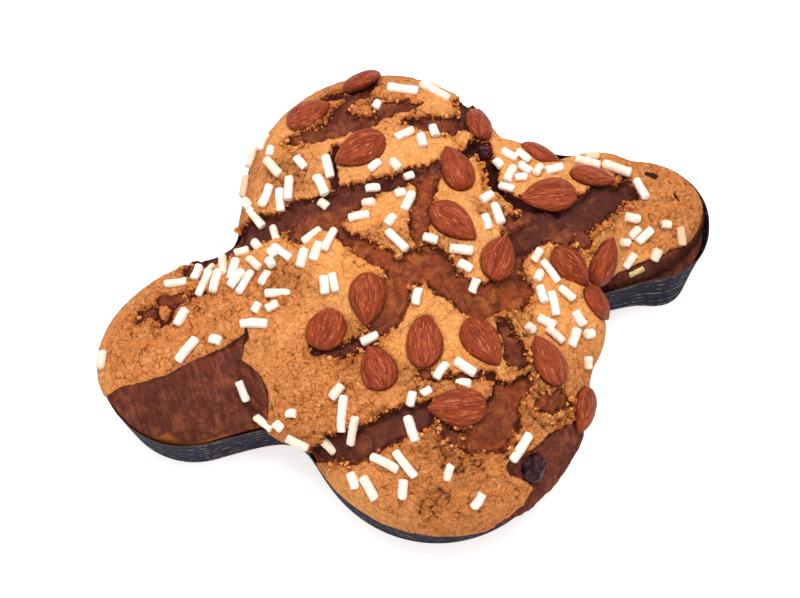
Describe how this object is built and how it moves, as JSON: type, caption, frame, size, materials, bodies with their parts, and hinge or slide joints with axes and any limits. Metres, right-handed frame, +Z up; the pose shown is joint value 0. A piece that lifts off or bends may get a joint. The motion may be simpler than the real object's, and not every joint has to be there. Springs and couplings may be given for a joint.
{
  "type": "colomba easter bread",
  "caption": "Dove-shaped sweet Easter bread with cracked almond glaze, whole almonds and pearl sugar, standing in its cross-shaped paper baking case.",
  "frame": {"origin": "on the surface it stands on, under the middle of the cross", "axes": "+X towards the dove's head, +Y towards its far wing, +Z up"},
  "size_m": [0.3042, 0.2349, 0.0947],
  "materials": {
    "baked_crust": "matt cracked almond glaze over brown crust, with white pearl sugar",
    "almond_skin": "dry ridged reddish brown skin",
    "raisin_skin": "wrinkled, dark, slightly sticky",
    "printed_paper": "dark blue-black baking paper with rows of fine gold dashes"
  },
  "bodies": {
    "root": {"bread": "baked_crust", "paper_case": "printed_paper", "almond_01": "almond_skin", "almond_02": "almond_skin", "almond_03": "almond_skin", "almond_04": "almond_skin", "almond_05": "almond_skin", "almond_06": "almond_skin", "almond_07": "almond_skin", "almond_08": "almond_skin", "almond_09": "almond_skin", "almond_10": "almond_skin", "almond_11": "almond_skin", "almond_12": "almond_skin", "almond_13": "almond_skin", "almond_14": "almond_skin", "almond_15": "almond_skin", "almond_16": "almond_skin", "almond_17": "almond_skin", "almond_18": "almond_skin", "almond_19": "almond_skin", "almond_20": "almond_skin", "almond_21": "almond_skin", "raisin_near": "raisin_skin", "raisin_far": "raisin_skin"}
  },
  "joints": []
}
